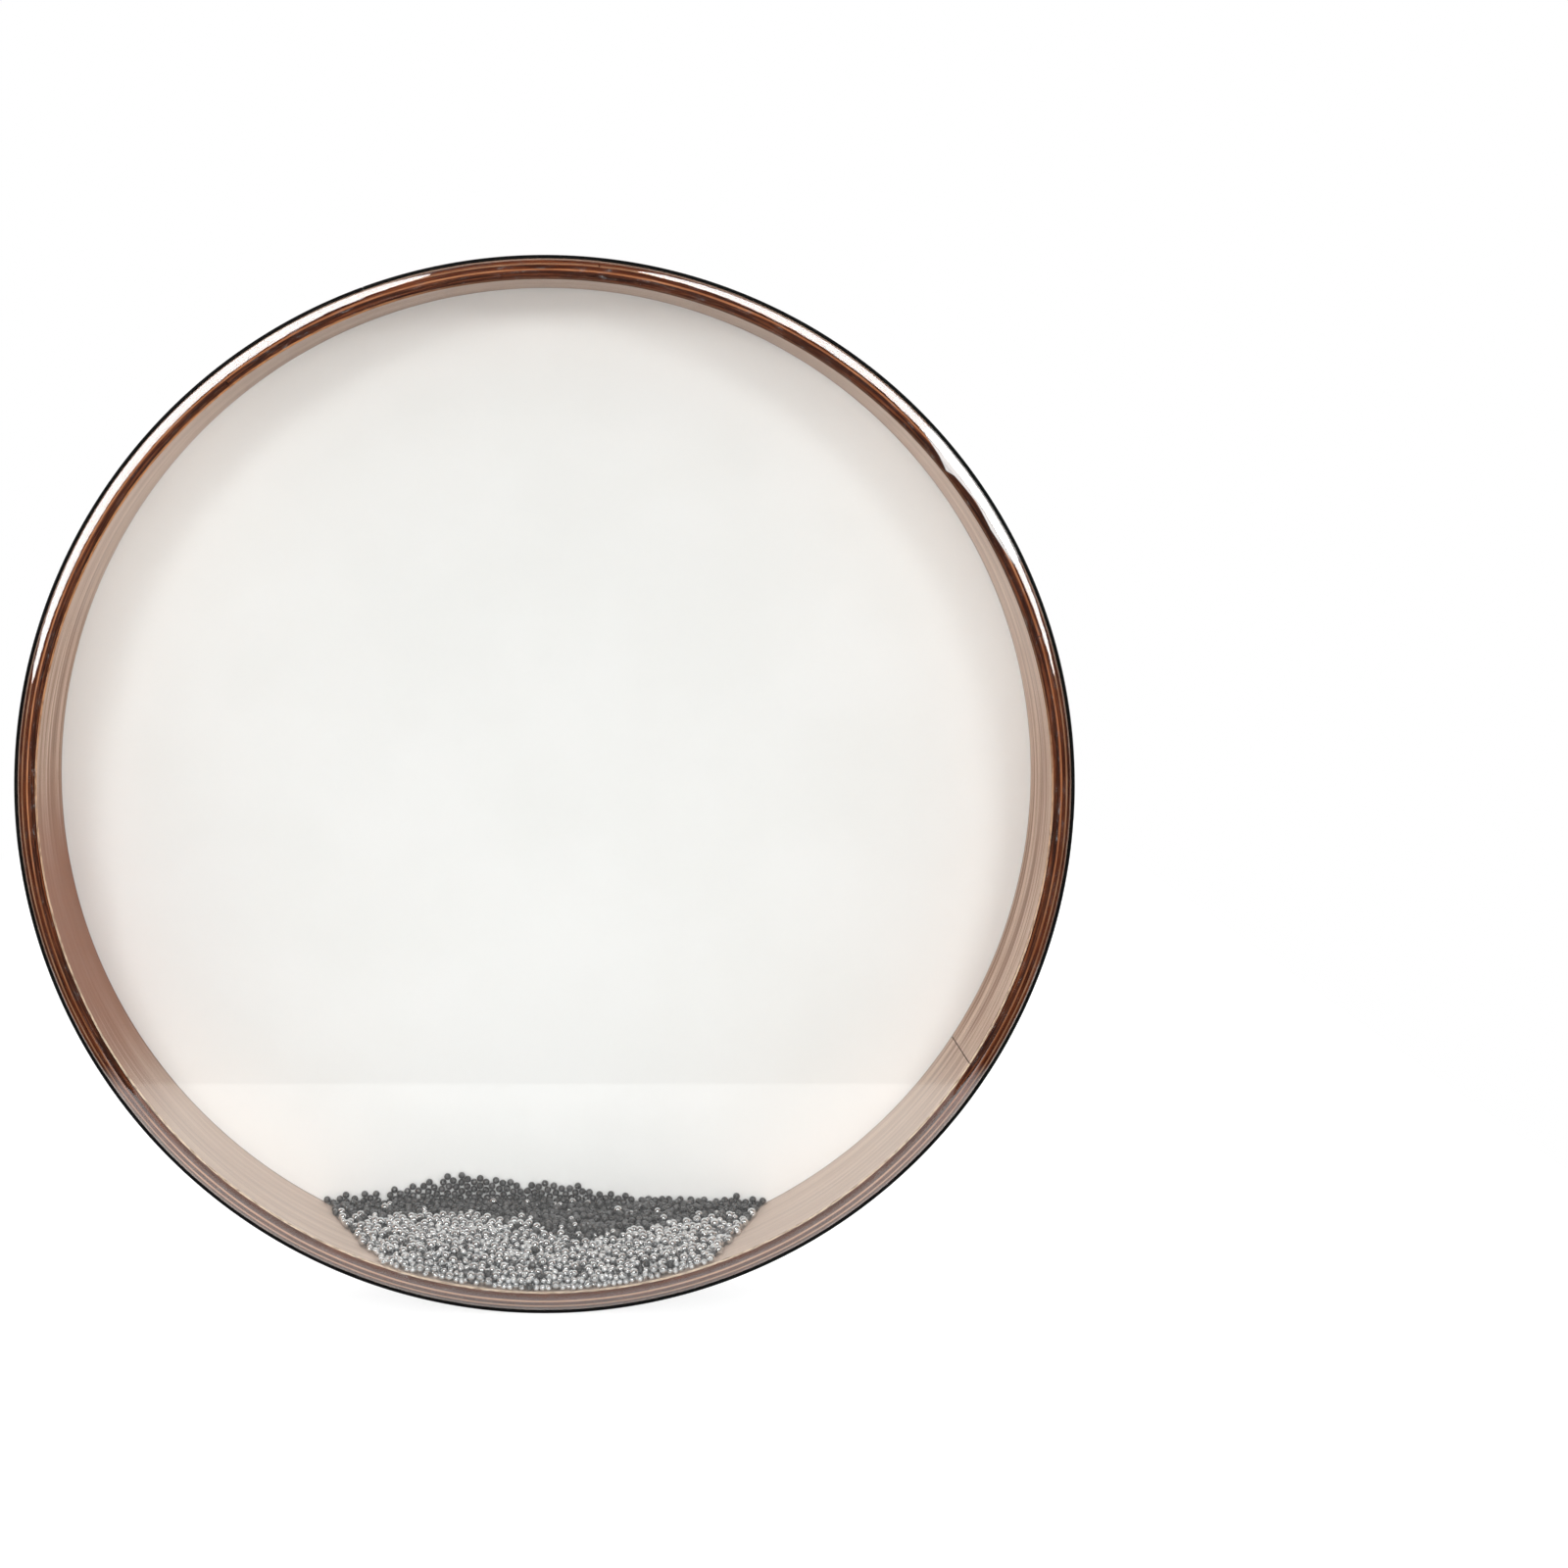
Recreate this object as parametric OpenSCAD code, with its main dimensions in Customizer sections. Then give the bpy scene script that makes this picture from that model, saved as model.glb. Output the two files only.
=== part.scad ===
// Ocean drum: a bent plywood hoop between a clear front head and a white rear head,
// with a heap of small steel beads inside. The drum stands upright on its rim.
// The origin is the drum's centre. +Y runs from the front head to the rear head, +Z is up.

/* [Drum] */
// Outer diameter over the side band
drum_d = 406; // [300:1:480]
// Overall depth over both heads
drum_depth = 60; // [44:1:90]

/* [Hoop layers] */
// Thickness of the inner face veneer
inner_veneer_t = 0.7; // [0.4:0.1:1.6]
// Thickness of the wide inner ply
inner_ply_t = 2.6; // [1.5:0.1:5]
// Thickness of the inner crossband
inner_crossband_t = 0.9; // [0.4:0.1:2]
// Thickness of the middle ply
middle_ply_t = 1.0; // [0.5:0.1:3]
// Thickness of the outer crossband
outer_crossband_t = 0.9; // [0.4:0.1:2]
// Thickness of the outer ply
outer_ply_t = 1.3; // [0.5:0.1:3]
// Thickness of the outer face veneer
outer_veneer_t = 0.8; // [0.4:0.1:1.6]
// Rounding of the hoop's front outer edge
front_round = 5; // [1.5:0.5:6]
// Rounding of the hoop's rear outer edge
rear_round = 1.2; // [0.4:0.2:4]
// Opening of the butt seam in each layer
seam_gap = 0.3; // [0.1:0.1:2]

/* [Heads] */
// Thickness of the clear film of the front head
front_film_t = 0.25; // [0.15:0.05:0.6]
// Thickness of the white film of the rear head
rear_film_t = 0.25; // [0.15:0.05:0.6]
// Thickness of the glue under each film
glue_t = 0.15; // [0.1:0.05:0.3]
// How far the front film comes down the side of the hoop
front_skirt = 10; // [7:0.5:18]
// How far the rear film comes down the side of the hoop
rear_skirt = 8; // [5:0.5:18]

/* [Side band] */
// Thickness of the black strip round the side
band_t = 1.0; // [0.5:0.1:2.5]
// Distance from the strip's rear edge to the rear face
band_rear_gap = 1.5; // [0.5:0.1:4]
// Distance from the strip's tape to each head's skirt
tape_gap = 1.0; // [0.5:0.1:3]

/* [Beads] */
// Diameter of the dark beads
dark_bead_d = 2.8; // [2:0.1:4]
// Diameter of the large silver beads
large_bead_d = 3.5; // [2:0.1:5]
// Diameter of the small silver beads
small_bead_d = 2.4; // [1.5:0.1:4]
// Least distance between the surfaces of two large beads
bead_gap = 0.6; // [0.3:0.1:3]
// Room between the beads and the inside of the drum
bead_room = 0.4; // [0.2:0.1:0.8]
// Room under each bead, where it lies on the ones below
bead_seat = 0.3; // [0.1:0.1:0.6]

/* [Heap] */
// Thickness of the heap on the rim at the front head
heap_front_t = 4.8; // [4.4:0.2:12]
// Further thickness that the heap gains in its middle by the rear head
heap_growth_t = 28; // [10:1:40]
// Level of the heap's sides above the lowest rim, at the front head
side_front_h = 14; // [8:1:25]
// Level of the heap's sides above the lowest rim, at the rear head
side_rear_h = 24; // [15:1:40]
// Extra height of the heap's crown at the rear head
crown_h = 8; // [0:1:14]
// Half width of the crown
crown_w = 90; // [60:1:120]
// Place of the crown, to the right of the middle
crown_x = -22; // [-50:1:50]

/* [Hidden] */

// Facets of the drawn rounds and of the drawn beads
$fn = 180;
bead_fn = 24;

// The hoop's rounded edges are turned in flats, so that thin walls over them stay clear of each other
rounding_sides = 24;

// Radii of the layers, worked from the outside in
band_out_r = drum_d / 2;
band_in_r = band_out_r - band_t;
skirt_t = glue_t + max(front_film_t, rear_film_t);
hoop_out_r = band_in_r - skirt_t;
outer_ply_r = hoop_out_r - outer_veneer_t;
outer_crossband_r = outer_ply_r - outer_ply_t;
middle_ply_r = outer_crossband_r - outer_crossband_t;
inner_crossband_r = middle_ply_r - middle_ply_t;
inner_ply_r = inner_crossband_r - inner_crossband_t;
inner_veneer_r = inner_ply_r - inner_ply_t;
hoop_in_r = inner_veneer_r - inner_veneer_t;

// Places along the drum's axis
front_y = -drum_depth / 2;
rear_y = drum_depth / 2;
chamber_front_y = front_y + front_film_t;
chamber_rear_y = rear_y - rear_film_t;
hoop_front_y = chamber_front_y + glue_t;
hoop_rear_y = chamber_rear_y - glue_t;
front_skirt_y = hoop_front_y + front_skirt;
rear_skirt_y = hoop_rear_y - rear_skirt;
band_front_y = hoop_front_y + front_round;
band_rear_y = rear_y - band_rear_gap;

// Angle of each butt seam, from +X towards +Z
inner_veneer_seam_a = -33;
inner_ply_seam_a = 128;
inner_crossband_seam_a = 17;
middle_ply_seam_a = 231;
outer_crossband_seam_a = 84;
outer_ply_seam_a = 165;
outer_veneer_seam_a = 52;
band_seam_a = 110;

// Space that the beads keep to
bead_front_y = chamber_front_y + bead_room;
bead_rear_y = chamber_rear_y - bead_room;
bead_reach_r = hoop_in_r - bead_room;
big_bead_d = max(dark_bead_d, large_bead_d, small_bead_d);

// Bead kinds, by their place in these lists
dark = 0;
large = 1;
small = 2;
bead_d = [dark_bead_d, large_bead_d, small_bead_d];

// Shares of the dark and of the large beads among all beads, at the front and at the rear head
front_dark_share = 0.25;
rear_dark_share = 0.6;
large_share = 0.25;

// Rows of beads stand in a triangle pattern, and each bead strays a little from its place
bead_pitch = big_bead_d + bead_gap;
row_pitch = bead_pitch * sin(60);
stray_share = 0.3;
bead_stray = bead_gap * stray_share;
kind_seed = 11;
stray_seed = 29;

// The heap's surface rises from a thin layer on the rim at the front head to the rear head,
// and its sides stay at a level that rises the same way
function rear_share(y) = (y - bead_front_y) / (bead_rear_y - bead_front_y);
function rim_z(x) = -sqrt(hoop_in_r * hoop_in_r - x * x);
function crown(x) = crown_h * max(0, 1 - pow((x - crown_x) / crown_w, 2));
function level_z(x, y) =
    side_front_h - hoop_in_r + rear_share(y) * (side_rear_h - side_front_h + crown(x));
function pile_z(x, y) = rim_z(x) + heap_front_t + rear_share(y) * heap_growth_t;
function heap_z(x, y) = min(level_z(x, y), pile_z(x, y));

// The core lies one bead below that surface
function core_z(x, y) = heap_z(x, y) - big_bead_d - bead_seat;

// Beads rest on the core's slope, so they are lifted by more than their radius
heap_slope = heap_growth_t / (bead_rear_y - bead_front_y);
slope_lift_share = sqrt(1 + heap_slope * heap_slope);
function rest_z(x, y, kind) = core_z(x, y) + (bead_d[kind] / 2 + bead_seat) * slope_lift_share;

function bead_kind(pick, share) =
    let (dark_share = front_dark_share + (rear_dark_share - front_dark_share) * share)
    pick < dark_share ? dark : pick < dark_share + large_share ? large : small;
function inside_rim(x, z, kind) = norm([x, z]) + bead_d[kind] / 2 <= bead_reach_r;

// The outermost beads lie on the core, in rows from the front head to the rear head
first_row_y = bead_front_y + big_bead_d / 2;
last_row_y = bead_rear_y - big_bead_d / 2;
row_spans = floor((last_row_y - first_row_y) / row_pitch);
row_step = (last_row_y - first_row_y) / row_spans;
row_reach = ceil(bead_reach_r / bead_pitch);
row_places = 2 * row_reach + 1;
picks = rands(0, 1, (row_spans + 1) * row_places, kind_seed);
strays = rands(-bead_stray, bead_stray, (row_spans + 1) * row_places, stray_seed);
bead_places = [
    for (row = [0 : row_spans])
        for (i = [0 : row_places - 1])
            let (
                n = row * row_places + i,
                x = (i - row_reach + (row % 2) / 2) * bead_pitch + strays[n],
                y = first_row_y + row * row_step,
                kind = bead_kind(picks[n], rear_share(y))
            )
            if (abs(x) < bead_reach_r)
                let (z = rest_z(x, y, kind))
                if (inside_rim(x, z, kind)) [x, y, z, kind]
];

// Turns a shape drawn round +Z so that it runs along +Y
module along_drum() {
    rotate([-90, 0, 0])
        children();
}

module rounding(r) {
    polygon([for (k = [0 : rounding_sides - 1]) let (a = 360 * k / rounding_sides) r * [cos(a), sin(a)]]);
}

// The hoop's section, grown outward, from the axis to the side, with a rounded front corner
module front_outline(grow) {
    corner_r = front_round + grow;
    side_r = hoop_out_r + grow;
    edge_y = hoop_front_y - grow;
    translate([0, edge_y])
        square([side_r - corner_r, rear_y - edge_y]);
    translate([0, edge_y + corner_r])
        square([side_r, rear_y - edge_y - corner_r]);
    translate([side_r - corner_r, edge_y + corner_r])
        rounding(corner_r);
}

// The same section with a rounded rear corner
module rear_outline(grow) {
    corner_r = rear_round + grow;
    side_r = hoop_out_r + grow;
    edge_y = hoop_rear_y + grow;
    translate([0, front_y])
        square([side_r - corner_r, edge_y - front_y]);
    translate([0, front_y])
        square([side_r, edge_y - corner_r - front_y]);
    translate([side_r - corner_r, edge_y - corner_r])
        rounding(corner_r);
}

// A slit along the axis at an angle, through everything from one radius to another
module seam(angle, from_r, to_r) {
    rotate([0, -angle, 0])
        translate([from_r, front_y, -seam_gap / 2])
            cube([to_r - from_r, drum_depth, seam_gap]);
}

// One bent layer of the hoop, with its butt seam
module hoop_layer(in_r, thickness, seam_a) {
    difference() {
        along_drum()
            rotate_extrude()
                intersection() {
                    translate([in_r, hoop_front_y])
                        square([thickness, hoop_rear_y - hoop_front_y]);
                    front_outline(0);
                    rear_outline(0);
                }
        seam(seam_a, in_r - seam_gap, in_r + thickness + seam_gap);
    }
}

module inner_face_veneer() {
    color([0.70, 0.57, 0.48])
        hoop_layer(hoop_in_r, inner_veneer_t, inner_veneer_seam_a);
}

module inner_ply() {
    color([0.27, 0.15, 0.10])
        hoop_layer(inner_veneer_r, inner_ply_t, inner_ply_seam_a);
}

module inner_crossband() {
    color([0.55, 0.38, 0.29])
        hoop_layer(inner_ply_r, inner_crossband_t, inner_crossband_seam_a);
}

module middle_ply() {
    color([0.36, 0.20, 0.13])
        hoop_layer(inner_crossband_r, middle_ply_t, middle_ply_seam_a);
}

module outer_crossband() {
    color([0.52, 0.35, 0.26])
        hoop_layer(middle_ply_r, outer_crossband_t, outer_crossband_seam_a);
}

module outer_ply() {
    color([0.36, 0.21, 0.15])
        hoop_layer(outer_crossband_r, outer_ply_t, outer_ply_seam_a);
}

module outer_face_veneer() {
    color([0.62, 0.51, 0.46])
        hoop_layer(outer_ply_r, outer_veneer_t, outer_veneer_seam_a);
}

// Glue on the hoop's front edge, over the rounding and down to the end of the skirt
module front_glue_line() {
    color([0.86, 0.84, 0.80])
        along_drum()
            rotate_extrude()
                difference() {
                    intersection() {
                        front_outline(glue_t);
                        translate([hoop_in_r, front_y])
                            square([band_out_r - hoop_in_r, front_skirt_y - front_y]);
                    }
                    front_outline(0);
                }
}

module rear_glue_line() {
    color([0.86, 0.84, 0.80])
        along_drum()
            rotate_extrude()
                difference() {
                    intersection() {
                        rear_outline(glue_t);
                        translate([hoop_in_r, rear_skirt_y])
                            square([band_out_r - hoop_in_r, rear_y - rear_skirt_y]);
                    }
                    rear_outline(0);
                }
}

// Clear film: flat over the chamber, turned over the rounded edge, with a skirt on the side
module front_head() {
    color([0.90, 0.92, 0.92, 0.25])
        along_drum()
            rotate_extrude()
                difference() {
                    intersection() {
                        front_outline(glue_t + front_film_t);
                        translate([0, front_y])
                            square([band_out_r, front_skirt_y - front_y]);
                    }
                    front_outline(glue_t);
                }
}

module rear_head() {
    color([0.95, 0.95, 0.94])
        along_drum()
            rotate_extrude()
                difference() {
                    intersection() {
                        rear_outline(glue_t + rear_film_t);
                        translate([0, rear_skirt_y])
                            square([band_out_r, rear_y - rear_skirt_y]);
                    }
                    rear_outline(glue_t);
                }
}

// Adhesive tape under the side band, between the two skirts
module band_tape() {
    color([0.80, 0.78, 0.74])
        along_drum()
            rotate_extrude()
                translate([hoop_out_r, front_skirt_y + tape_gap])
                    square([skirt_t, rear_skirt_y - front_skirt_y - 2 * tape_gap]);
}

// Black strip wrapped round the side, with a butt seam
module side_band() {
    color([0.08, 0.08, 0.08])
        difference() {
            along_drum()
                rotate_extrude()
                    translate([band_in_r, band_front_y])
                        square([band_t, band_rear_y - band_front_y]);
            seam(band_seam_a, band_in_r - seam_gap, band_out_r + seam_gap);
        }
}

// The beads inside the heap, below the outermost ones, drawn as one closed solid: a grid of
// points at the core's height over a grid of points below the rim, cut round to the rim
core_columns = 24;
core_rows = 6;
core_half_w = sqrt(pow(hoop_in_r, 2) - pow(hoop_in_r - side_rear_h - crown_h, 2));
row_points = core_columns + 1;
grid_points = row_points * (core_rows + 1);
core_grid = [
    for (row = [0 : core_rows])
        for (column = [0 : core_columns])
            [
                core_half_w * (2 * column / core_columns - 1),
                bead_front_y + (bead_rear_y - bead_front_y) * row / core_rows
            ]
];
core_points = [
    for (p = core_grid) [p[0], p[1], core_z(p[0], p[1])],
    for (p = core_grid) [p[0], p[1], -hoop_in_r - big_bead_d]
];
core_faces = [
    for (row = [0 : core_rows - 1])
        for (column = [0 : core_columns - 1])
            let (a = row * row_points + column)
            each [
                [a, a + row_points, a + row_points + 1],
                [a, a + row_points + 1, a + 1],
                [a + 1, a + row_points + 1, a + row_points, a] + [for (k = [0 : 3]) grid_points]
            ],
    for (a = [0 : core_columns - 1])
        each [
            [a, a + 1, a + 1 + grid_points, a + grid_points],
            [a + 1, a, a + grid_points, a + 1 + grid_points]
                + [for (k = [0 : 3]) core_rows * row_points]
        ],
    for (a = [0 : row_points : core_rows * row_points - 1])
        each [
            [a + row_points, a, a + grid_points, a + row_points + grid_points],
            [a, a + row_points, a + row_points + grid_points, a + grid_points]
                + [for (k = [0 : 3]) core_columns]
        ]
];

module heap_core() {
    color([0.35, 0.35, 0.36])
        intersection() {
            polyhedron(points = core_points, faces = core_faces);
            along_drum()
                translate([0, 0, front_y])
                    cylinder(r = bead_reach_r, h = drum_depth);
        }
}

module beads_of(kind) {
    for (place = bead_places)
        if (place[3] == kind)
            translate([place[0], place[1], place[2]])
                sphere(d = bead_d[kind], $fn = bead_fn);
}

module dark_beads() {
    color([0.22, 0.22, 0.23])
        beads_of(dark);
}

module silver_beads_large() {
    color([0.75, 0.75, 0.76])
        beads_of(large);
}

module silver_beads_small() {
    color([0.80, 0.80, 0.80])
        beads_of(small);
}

inner_face_veneer();
inner_ply();
inner_crossband();
middle_ply();
outer_crossband();
outer_ply();
outer_face_veneer();
front_glue_line();
rear_glue_line();
front_head();
rear_head();
band_tape();
side_band();
heap_core();
dark_beads();
silver_beads_large();
silver_beads_small();
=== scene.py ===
import math

import bmesh
import bpy
import numpy as np
from mathutils import Matrix, Vector


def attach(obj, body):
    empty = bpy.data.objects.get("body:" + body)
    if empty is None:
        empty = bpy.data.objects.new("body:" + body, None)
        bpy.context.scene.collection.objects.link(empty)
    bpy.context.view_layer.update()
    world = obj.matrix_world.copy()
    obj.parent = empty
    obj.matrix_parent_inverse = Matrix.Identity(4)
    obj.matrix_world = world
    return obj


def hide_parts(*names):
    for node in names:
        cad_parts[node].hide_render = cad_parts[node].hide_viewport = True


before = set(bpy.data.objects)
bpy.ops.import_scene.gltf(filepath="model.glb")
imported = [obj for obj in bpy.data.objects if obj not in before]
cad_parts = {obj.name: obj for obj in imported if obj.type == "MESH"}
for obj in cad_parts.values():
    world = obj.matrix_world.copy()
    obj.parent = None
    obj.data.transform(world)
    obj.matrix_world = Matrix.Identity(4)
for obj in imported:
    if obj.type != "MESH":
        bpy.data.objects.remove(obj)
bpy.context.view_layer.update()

SCENE = bpy.context.scene
MM = 0.001

# The drum's sizes in millimetres; outer layers, film, glue and strip differ a little from the solids
HOOP_IN_R = 193.4
LAYER_R = [193.4, 194.1, 196.7, 197.6, 199.0, 199.8, 200.9, 201.75]
BAND_IN_R = 202.0
BAND_OUT_R = 202.95
FACE_Y = 30.0
FILM_T = 0.20
GLUE_T = 0.05
HOOP_END_Y = FACE_Y - FILM_T - GLUE_T
FRONT_ROUND = 5.0
REAR_ROUND = 1.2
HOOP_OUT_R = LAYER_R[-1]
FRONT_SKIRT_Y = -HOOP_END_Y + 10.0
REAR_SKIRT_Y = HOOP_END_Y - 8.0
BAND_FRONT_Y = -HOOP_END_Y + FRONT_ROUND
BAND_REAR_Y = FACE_Y - 1.5
SEAM_GAP = 0.3
HAIR = 0.012

# Butt seams, in degrees from +X towards +Z
LAYERS = [
    ("inner_face_veneer", -33.0),
    ("inner_ply", 128.0),
    ("inner_crossband", 17.0),
    ("middle_ply", 231.0),
    ("outer_crossband", 84.0),
    ("outer_ply", 165.0),
    ("outer_face_veneer", 52.0),
]
BAND_SEAM = 110.0
STEPS = 1080


# Node helpers

def new_material(name):
    material = bpy.data.materials.new(name)
    material.use_nodes = True
    material.node_tree.nodes.clear()
    return material, material.node_tree


def add(tree, kind, inputs=None, **settings):
    made = tree.nodes.new("ShaderNode" + kind)
    for key, value in settings.items():
        setattr(made, key, value)
    for key, value in (inputs or {}).items():
        if isinstance(value, bpy.types.NodeSocket):
            tree.links.new(value, made.inputs[key])
        else:
            made.inputs[key].default_value = value
    return made


def math_node(tree, operation, *values):
    return add(tree, "Math", dict(enumerate(values)), operation=operation).outputs[0]


def times(tree, first, second):
    return math_node(tree, "MULTIPLY", first, second)


def axes(tree, vector=None):
    """The three parts of a vector; without one, of the place on the object in metres."""
    if vector is None:
        vector = add(tree, "TexCoord").outputs["Object"]
    return add(tree, "SeparateXYZ", {0: vector}).outputs


def ramp(tree, value, stops):
    made = add(tree, "ValToRGB", {"Fac": value})
    band = made.color_ramp
    while len(band.elements) < len(stops):
        band.elements.new(1.0)
    for element, (place, colour) in zip(band.elements, stops):
        element.position = place
        element.color = (*colour, 1.0)
    return made.outputs["Color"]


def mask(tree, value, low, high):
    made = add(tree, "MapRange", {"Value": value, "From Min": low, "From Max": high})
    made.interpolation_type = "SMOOTHSTEP"
    return made.outputs["Result"]


def zone(tree, value, low, high, share):
    """A soft mask with its greatest share."""
    return times(tree, mask(tree, value, low, high), share)


def mix_colour(tree, share, first, second):
    made = add(tree, "Mix", data_type="RGBA")
    for key, value in ((0, share), (6, first), (7, second)):
        if isinstance(value, bpy.types.NodeSocket):
            tree.links.new(value, made.inputs[key])
        else:
            made.inputs[key].default_value = value if key == 0 else (*value, 1.0)
    return made.outputs[2]


def noise(tree, vector, scale, detail=4.0, rough=0.55, distortion=0.0):
    moved = add(tree, "VectorMath", {0: vector, 1: scale}, operation="MULTIPLY").outputs[0]
    return add(
        tree,
        "TexNoise",
        {"Vector": moved, "Scale": 1.0, "Detail": detail, "Roughness": rough, "Distortion": distortion},
    ).outputs["Fac"]


def srgb(*levels):
    """A colour written in 0-255 screen levels, as linear values."""
    shares = [level / 255.0 for level in levels]
    return tuple(s / 12.92 if s <= 0.04045 else ((s + 0.055) / 1.055) ** 2.4 for s in shares)


def hoop_coordinates(tree, seam):
    """Arc length, place along the axis and radius in millimetres, with the wrap at the seam."""
    turn = math.radians(seam - 180.0)
    place = add(tree, "TexCoord").outputs["Object"]
    along = add(
        tree, "VectorMath", {0: place, 1: (math.cos(turn), 0.0, math.sin(turn))}, operation="DOT_PRODUCT"
    ).outputs["Value"]
    across = add(
        tree, "VectorMath", {0: place, 1: (-math.sin(turn), 0.0, math.cos(turn))}, operation="DOT_PRODUCT"
    ).outputs["Value"]
    angle = math_node(tree, "ARCTAN2", across, along)
    squares = [math_node(tree, "POWER", part, 2.0) for part in (along, across)]
    radius = math_node(tree, "SQRT", math_node(tree, "ADD", *squares))
    depth = axes(tree, place)["Y"]
    parts = (times(tree, angle, HOOP_IN_R), times(tree, depth, 1.0 / MM), times(tree, radius, 1.0 / MM))
    return add(tree, "CombineXYZ", dict(enumerate(parts))).outputs[0]


# Materials

BUMP_DEPTH = 0.0002


def surface(tree, colour, rough, shine, height, bump):
    """An opaque coat with a fine relief."""
    bumped = add(tree, "Bump", {"Strength": bump, "Distance": BUMP_DEPTH, "Height": height}).outputs[0]
    inputs = {"Base Color": colour, "Roughness": rough, "Normal": bumped, "Specular IOR Level": shine}
    shader = add(tree, "BsdfPrincipled", inputs)
    add(tree, "OutputMaterial", {"Surface": shader.outputs[0]})


# Masks in the wood: where each starts, where it is full and, for a zone, its greatest share
BLOTCH_ZONE = (0.46, 0.74, 0.6)
PORE_RANGE = (0.56, 0.68)
WORN_ZONE = (0.45, 0.62, 0.6)
# Heights and places across in metres
# Painted light on the inner wall high up and at the bottom
PAINTED_LIGHT_TOP = (0.02, 0.09, 0.45)
PAINTED_LIGHT_BOTTOM = (-0.09, -0.135, 0.68)
# Painted shade at the very top of the inner wall
TOP_SHADE_ZONE = (0.12, 0.185, 0.5)
BROWN_HEIGHT = (0.02, -0.04)
BROWN_LEFT = (-0.14, -0.18)
BROWN_SHARE = 0.9
EDGE_TONE_HEIGHT = (-0.12, 0.08)
DARK_EDGE = (0.09, 0.16)
DARK_EDGE_WAY = (0.55, 0.83)
# Painted reflection: where the plies' edge is lighter low down
PAINTED_VEIL_HEIGHT = (-0.11, -0.15)
# Radii and depths in millimetres
FRONT_EDGE = (-HOOP_END_Y + 0.25, -HOOP_END_Y + 0.05)
# Painted shade in the corner where the inner wall meets the rear head
REAR_CORNER_SHADE = (HOOP_END_Y - 1.6, HOOP_END_Y - 0.2, 0.6)
SEAM_ZONE = (0.40, 0.16, 0.6)
PURPLE_ZONE = (195.2, 196.4, 0.35)
STAIN_ZONE = (0.22, 0.48, 0.75)


def wood(name, seam, colours, gloss, streak, pore_share, shine, spread, extra=None):
    """Bent veneer: long streaks round the hoop, fine pores along the grain and broad blotches."""
    dark, middle, light, pore = colours
    material, tree = new_material(name)
    place = hoop_coordinates(tree, seam)
    streaks = noise(tree, place, streak, detail=6.0, rough=0.62, distortion=0.3)
    colour = ramp(tree, streaks, [(0.5 - spread, dark), (0.5, middle), (0.5 + spread, light)])
    blotch = noise(tree, place, (0.03, 0.05, 0.3), detail=3.0)
    colour = mix_colour(tree, zone(tree, blotch, *BLOTCH_ZONE), colour, middle)
    pores = noise(tree, place, (0.12, 3.2, 3.6), detail=3.0, rough=0.7)
    pore_mask = zone(tree, pores, *PORE_RANGE, pore_share)
    colour = mix_colour(tree, pore_mask, colour, pore)
    if extra:
        colour = extra(tree, place, colour)
    height = math_node(tree, "SUBTRACT", times(tree, streaks, 0.5), pore_mask)
    rough = math_node(tree, "MULTIPLY_ADD", blotch, 0.2, gloss)
    surface(tree, colour, rough, shine, height, 0.25)
    return material


def inner_face_extra(tree, place, colour):
    """Painted light makes it pale high up and at the bottom, and painted shade darkens its top; brown low on
    the left; orange front edge, paler low down; painted shade in the rear corner, and a dark seam.
    """
    wrap = axes(tree, place)
    spot = axes(tree)
    up, across = spot["Z"], spot["X"]
    # Painted light: the wall is paler high up and at the bottom
    lit_top = zone(tree, math_node(tree, "MULTIPLY_ADD", across, 0.1, up), *PAINTED_LIGHT_TOP)
    pale = math_node(tree, "MAXIMUM", lit_top, zone(tree, up, *PAINTED_LIGHT_BOTTOM))
    colour = mix_colour(tree, pale, colour, WALL_PAINTED_LIGHT)
    # Painted shade darkens the very top of the wall
    colour = mix_colour(tree, zone(tree, up, *TOP_SHADE_ZONE), colour, WALL_PAINTED_SHADE)
    brown = times(tree, mask(tree, up, *BROWN_HEIGHT), mask(tree, across, *BROWN_LEFT))
    colour = mix_colour(tree, times(tree, brown, BROWN_SHARE), colour, WALL_LOW)
    # The front edge is orange higher up and paler towards the bottom
    tone = mix_colour(tree, mask(tree, up, *EDGE_TONE_HEIGHT), EDGE_LOWER_TONE, EDGE_UPPER_TONE)
    along = math_node(tree, "MULTIPLY_ADD", across, DARK_EDGE_WAY[0], times(tree, up, DARK_EDGE_WAY[1]))
    tone = mix_colour(tree, mask(tree, along, *DARK_EDGE), tone, EDGE_DARK)
    worn = noise(tree, place, (0.25, 0.5, 2.0), detail=3.0)
    tone = mix_colour(tree, zone(tree, worn, *WORN_ZONE), tone, EDGE_WORN)
    colour = mix_colour(tree, mask(tree, wrap["Y"], *FRONT_EDGE), colour, tone)
    # Painted shade darkens the rear corner
    colour = mix_colour(tree, zone(tree, wrap["Y"], *REAR_CORNER_SHADE), colour, CORNER_PAINTED_SHADE)
    off_seam = math_node(tree, "SUBTRACT", math.pi * HOOP_IN_R, math_node(tree, "ABSOLUTE", wrap["X"]))
    return mix_colour(tree, zone(tree, off_seam, *SEAM_ZONE), colour, SEAM_LINE)


def painted_low_veil(tree, colour, tone, share):
    """Painted reflection: the edge of the plies is lighter low down, standing in for the film's milky
    reflection of the floor.
    """
    return mix_colour(tree, zone(tree, axes(tree)["Z"], *PAINTED_VEIL_HEIGHT, share), colour, tone)


def mid_extra(tree, place, colour):
    # Painted reflection: lighter low down
    return painted_low_veil(tree, colour, PLY_PAINTED_VEIL, 0.45)


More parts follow.
